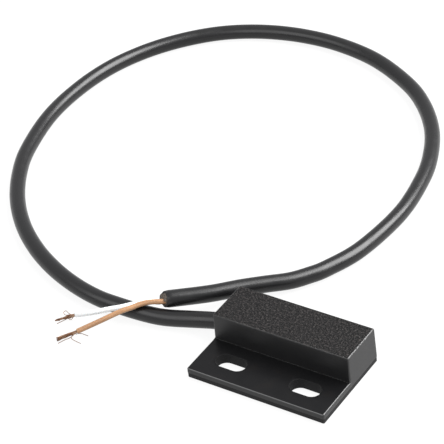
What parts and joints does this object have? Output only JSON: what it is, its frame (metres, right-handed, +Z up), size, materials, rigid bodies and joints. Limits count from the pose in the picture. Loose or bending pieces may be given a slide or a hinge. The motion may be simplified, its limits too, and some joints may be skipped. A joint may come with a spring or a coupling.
{
  "type": "flange-mount reed proximity switch with cable",
  "caption": "Black moulded sensor block on a slotted mounting flange: a magnet brought near closes its sealed reed contact. A looped round cable ends in stripped cores.",
  "frame": {"origin": "centre of the housing's flat underside, on the surface it is mounted to", "axes": "+X along the housing, from the end that the cable leaves towards the other end; +Y from the slotted flange towards the block; +Z up, away from the mounting surface"},
  "size_m": [0.103, 0.1109, 0.0076],
  "materials": {
    "black_moulding": "spark-eroded matte black plastic",
    "potting_resin": "smooth black resin",
    "capsule_glass": "clear with a green tint",
    "nickel_iron": "plated nickel-iron wire",
    "solder": "bright solder",
    "black_jacket": "satin black soft plastic",
    "brown_insulation": "satin brown soft plastic",
    "white_insulation": "satin white soft plastic",
    "copper": "bare copper strands, a little dull"
  },
  "bodies": {
    "sensor": {"housing": "black_moulding", "potting": "potting_resin", "glass_capsule": "capsule_glass", "near_solder": "solder", "far_solder": "solder", "cable_jacket": "black_jacket", "brown_core": "brown_insulation", "brown_conductor": "copper", "brown_strand_1": "copper", "brown_strand_2": "copper", "brown_strand_3": "copper", "brown_strand_4": "copper", "brown_strand_5": "copper", "brown_strand_6": "copper", "brown_strand_7": "copper", "white_core": "white_insulation", "white_conductor": "copper", "white_strand_1": "copper", "white_strand_2": "copper", "white_strand_3": "copper", "white_strand_4": "copper", "white_strand_5": "copper", "white_strand_6": "copper", "white_strand_7": "copper"},
    "near_blade": {"near_reed": "nickel_iron"},
    "far_blade": {"far_reed": "nickel_iron"}
  },
  "joints": [
    {"name": "near_reed_bend", "type": "hinge", "parent": "sensor", "child": "near_blade", "pos_m": [-0.00365, 0.00571, 0.004], "axis": [0, 1, 0], "range_deg": [0, 0.36], "stiffness_Nm_per_rad": 0.004},
    {"name": "far_reed_bend", "type": "hinge", "parent": "sensor", "child": "far_blade", "pos_m": [0.00825, 0.00571, 0.004], "axis": [0, 1, 0], "range_deg": [0, 0.36], "stiffness_Nm_per_rad": 0.004}
  ],
  "couplings": [
    {"joint": "far_reed_bend", "follows": "near_reed_bend", "ratio": 1}
  ]
}
